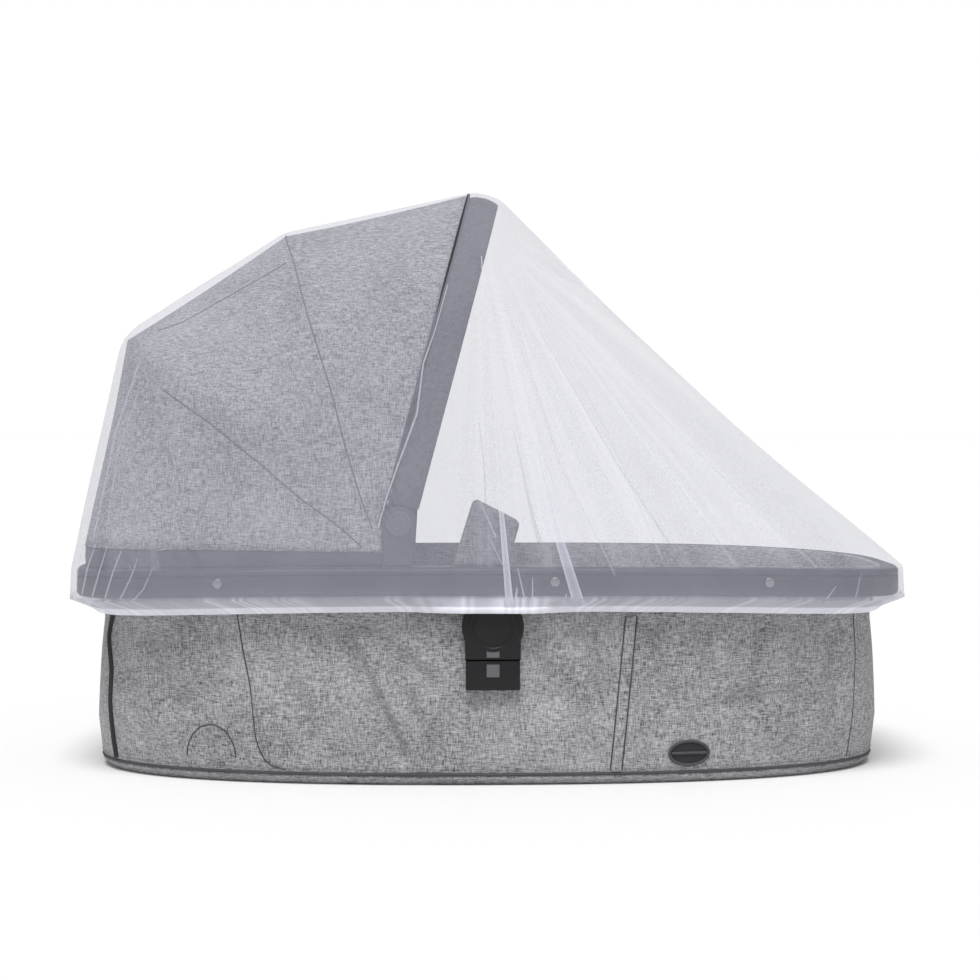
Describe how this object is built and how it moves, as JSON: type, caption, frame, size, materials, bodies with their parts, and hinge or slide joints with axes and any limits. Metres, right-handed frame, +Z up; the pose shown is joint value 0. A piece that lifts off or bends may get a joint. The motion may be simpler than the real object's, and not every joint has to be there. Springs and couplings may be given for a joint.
{
  "type": "stroller mosquito net on a carrycot with a hood",
  "caption": "White mosquito net pulled tight over a grey carrycot and its hooped hood, with a gathered hem tucked under the rim.",
  "frame": {"origin": "on the surface the carrycot rests on, under the middle of the net", "axes": "+X towards the foot end, -Y towards the side shown in the picture, +Z up"},
  "size_m": [0.8297, 0.4223, 0.5737],
  "materials": {
    "net": "sheer white polyester net",
    "melange": "grey melange linen-look cloth",
    "trim": "dark woven band",
    "rail": "matte dark grey",
    "plastic": "fine-grained black",
    "steel": "polished"
  },
  "bodies": {
    "root": {"net": "net", "hood_cloth": "melange", "hood_binding": "trim", "front_bow": "trim", "rim": "rail", "tub": "melange", "pivot_near": "plastic", "pivot_far": "plastic", "pivot_button_near": "plastic", "pivot_button_far": "plastic", "adaptor_near": "plastic", "adaptor_far": "plastic", "rivet_near_1": "steel", "rivet_near_2": "steel", "rivet_near_3": "steel", "rivet_far_1": "steel", "rivet_far_2": "steel", "rivet_far_3": "steel", "socket_cover": "melange"}
  },
  "joints": []
}
